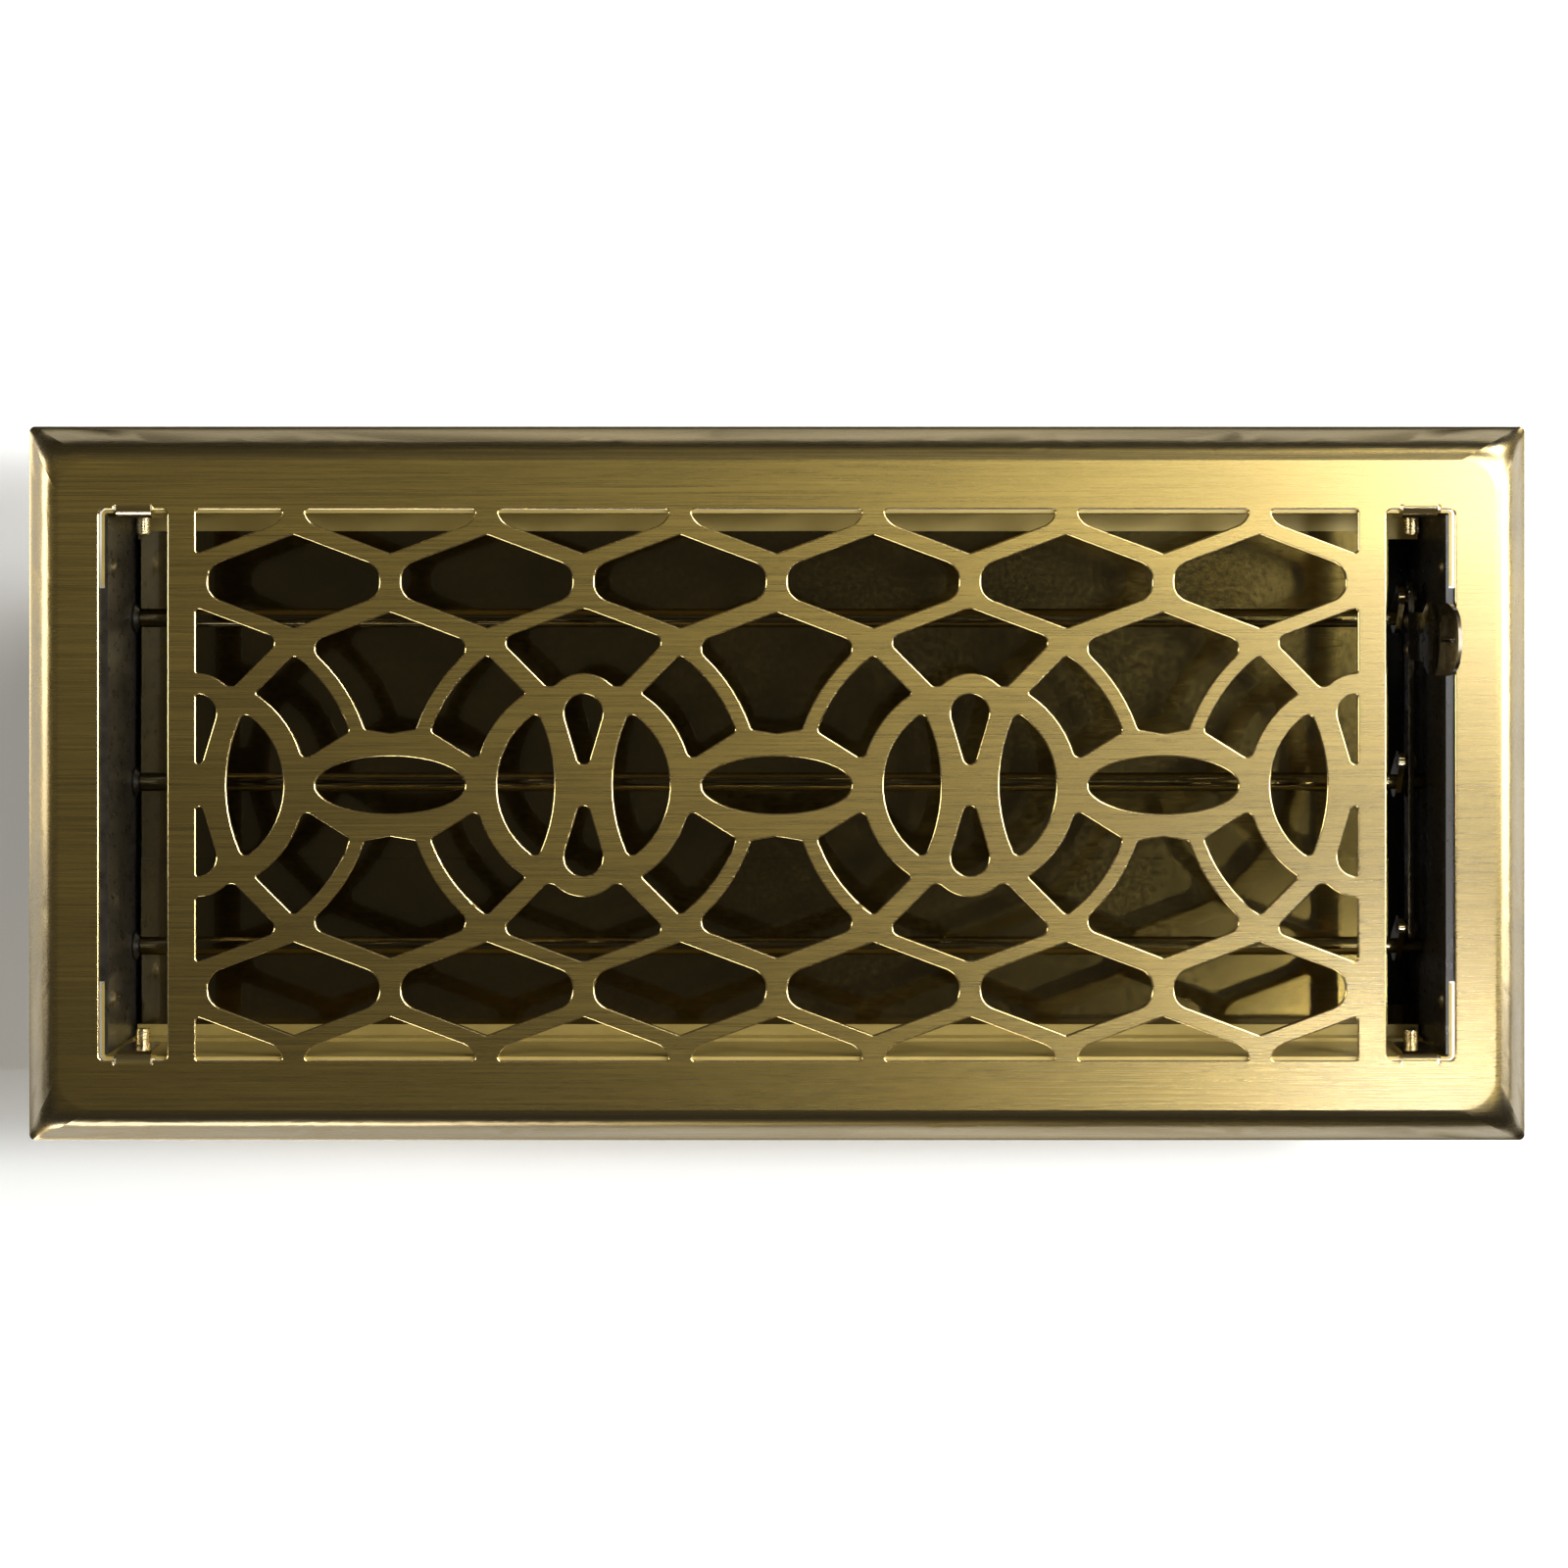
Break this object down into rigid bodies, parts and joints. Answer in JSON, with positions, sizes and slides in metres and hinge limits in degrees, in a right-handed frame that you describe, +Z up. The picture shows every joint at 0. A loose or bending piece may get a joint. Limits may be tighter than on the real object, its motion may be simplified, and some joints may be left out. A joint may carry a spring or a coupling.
{
  "type": "floor register",
  "caption": "Rectangular floor register: a brushed brass plate with a cut lattice over a damper box whose linked louvre blades open and shut with a thumb lever.",
  "frame": {"origin": "centre of the damper box's foot, under the middle of the face plate", "axes": "+X along the plate towards the thumb lever, +Y across it towards the rear blade, +Z up through the face"},
  "size_m": [0.394, 0.188, 0.0722],
  "materials": {
    "antique_brass": "brushed along the length, antique",
    "lacquered_steel": "bronze lacquer",
    "end_enamel": "near-black enamel",
    "blade_enamel": "glossy dark enamel",
    "lever_bronze": "glossy dark bronze",
    "rod_steel": "drawn, dark oxide",
    "spring_steel": "dark oxide",
    "screw_steel": "yellow zinc",
    "rivet_steel": "dark oxide"
  },
  "bodies": {
    "frame": {"face_plate": "antique_brass", "side_wall_rear": "lacquered_steel", "side_wall_front": "lacquered_steel", "end_wall_right": "end_enamel", "end_wall_left": "end_enamel", "blade_stop_rear": "lacquered_steel", "blade_stop_front": "lacquered_steel", "box_screws": "screw_steel", "corner_rivets": "rivet_steel"},
    "blade_1": {"louvre_1": "blade_enamel", "pivot_rod_1": "rod_steel", "spring_washer_1": "spring_steel", "rod_retainers_1": "spring_steel", "crank_arm_1": "blade_enamel", "crank_pin_1": "rod_steel"},
    "blade_2": {"louvre_2": "blade_enamel", "pivot_rod_2": "rod_steel", "spring_washer_2": "spring_steel", "rod_retainers_2": "spring_steel", "crank_arm_2": "blade_enamel", "crank_pin_2": "rod_steel"},
    "blade_3": {"louvre_3": "blade_enamel", "pivot_rod_3": "rod_steel", "spring_washer_3": "spring_steel", "rod_retainers_3": "spring_steel", "crank_arm_3": "blade_enamel", "crank_pin_3": "rod_steel"},
    "linkage": {"tie_bar": "lever_bronze", "thumb_lever": "lever_bronze", "lever_rivets": "rivet_steel"}
  },
  "joints": [
    {"name": "blade_2_hinge", "type": "hinge", "parent": "frame", "child": "blade_2", "pos_m": [0, -0.0016, 0.028], "axis": [1, 0, 0], "range_deg": [0, 90]},
    {"name": "blade_1_hinge", "type": "hinge", "parent": "frame", "child": "blade_1", "pos_m": [0, 0.043, 0.028], "axis": [1, 0, 0], "range_deg": [0, 90]},
    {"name": "blade_3_hinge", "type": "hinge", "parent": "frame", "child": "blade_3", "pos_m": [0, -0.0462, 0.028], "axis": [1, 0, 0], "range_deg": [0, 90]},
    {"name": "lever_hinge", "type": "hinge", "parent": "blade_2", "child": "linkage", "pos_m": [0, 0.00406, 0.03366], "axis": [1, 0, 0], "range_deg": [-90, 0]}
  ],
  "couplings": [
    {"joint": "blade_1_hinge", "follows": "blade_2_hinge", "ratio": 1},
    {"joint": "blade_3_hinge", "follows": "blade_2_hinge", "ratio": 1},
    {"joint": "lever_hinge", "follows": "blade_2_hinge", "ratio": -1}
  ]
}
